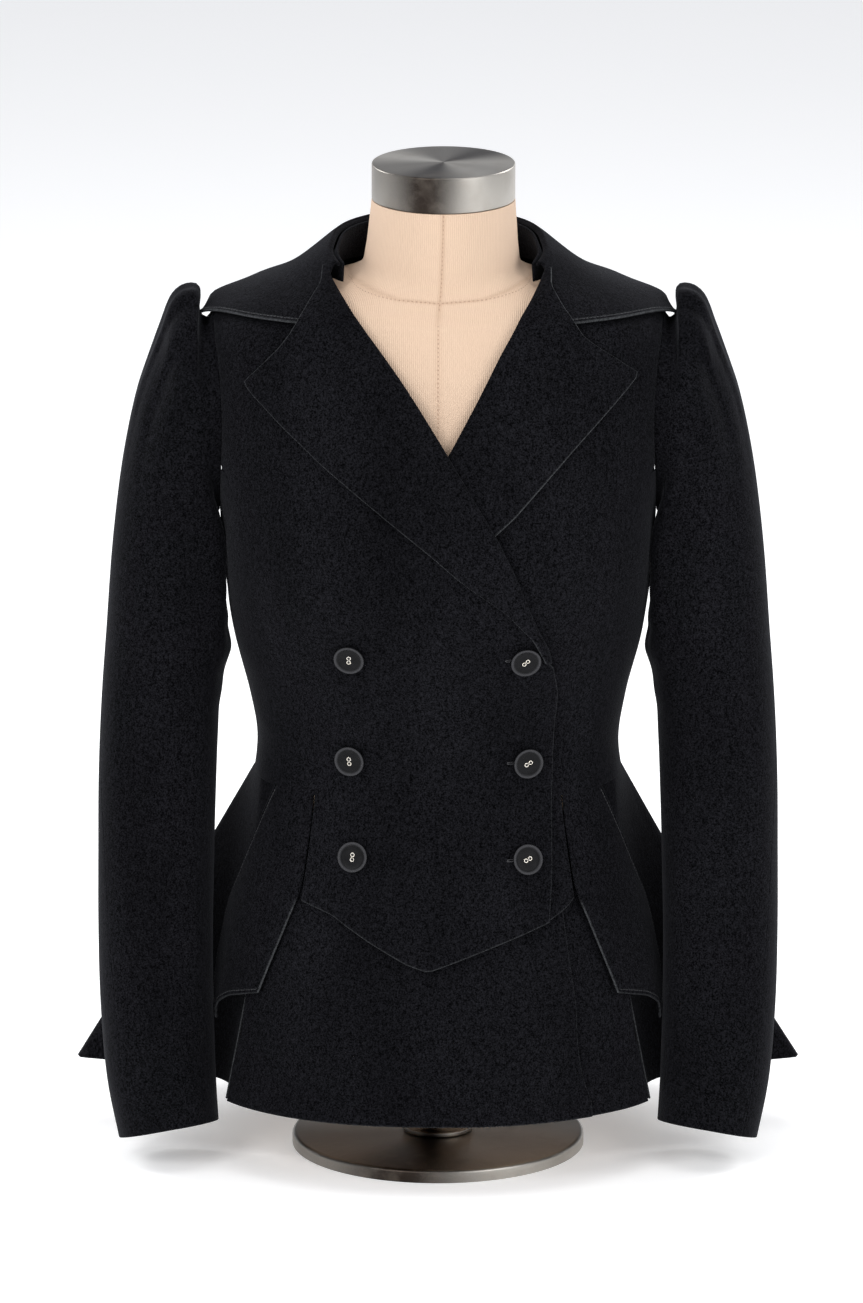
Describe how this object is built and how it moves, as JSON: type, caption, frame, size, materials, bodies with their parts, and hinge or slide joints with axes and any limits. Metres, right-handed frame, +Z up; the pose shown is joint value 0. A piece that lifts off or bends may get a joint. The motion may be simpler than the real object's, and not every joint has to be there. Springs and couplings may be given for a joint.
{
  "type": "velvet jacket on dress form",
  "caption": "Fitted double-breasted velvet jacket with pointed lapels, puffed sleeve heads, hip flaps and flared peplum, worn by a limbless dress form on a round stand.",
  "frame": {"origin": "centre of the stand base's underside", "axes": "+Z up, -Y out of the jacket's front, +X to the wearer's left"},
  "size_m": [0.5462, 0.3434, 0.76],
  "materials": {
    "velvet": "near-black cotton velvet with a short nap",
    "button": "satin black with small metal eyelets",
    "jersey": "peach jersey cover",
    "steel": "brushed"
  },
  "bodies": {
    "root": {"front_over": "velvet", "front_under": "velvet", "side_front_right": "velvet", "side_back_right": "velvet", "back_right": "velvet", "collar_right": "velvet", "hip_flap_right": "velvet", "peplum_side_right": "velvet", "peplum_back_right": "velvet", "sleeve_upper_right": "velvet", "sleeve_under_right": "velvet", "side_front_left": "velvet", "side_back_left": "velvet", "back_left": "velvet", "collar_left": "velvet", "hip_flap_left": "velvet", "peplum_side_left": "velvet", "peplum_back_left": "velvet", "sleeve_upper_left": "velvet", "sleeve_under_left": "velvet", "collar_stand": "velvet", "lapel_over": "velvet", "lapel_under": "velvet", "skirt_front_over": "velvet", "skirt_front_under": "velvet", "button_left_top": "button", "button_left_mid": "button", "button_left_low": "button", "button_right_top": "button", "button_right_mid": "button", "button_right_low": "button", "form_torso": "jersey", "neck_cap": "steel", "stand_post": "steel", "stand_base": "steel"}
  },
  "joints": []
}
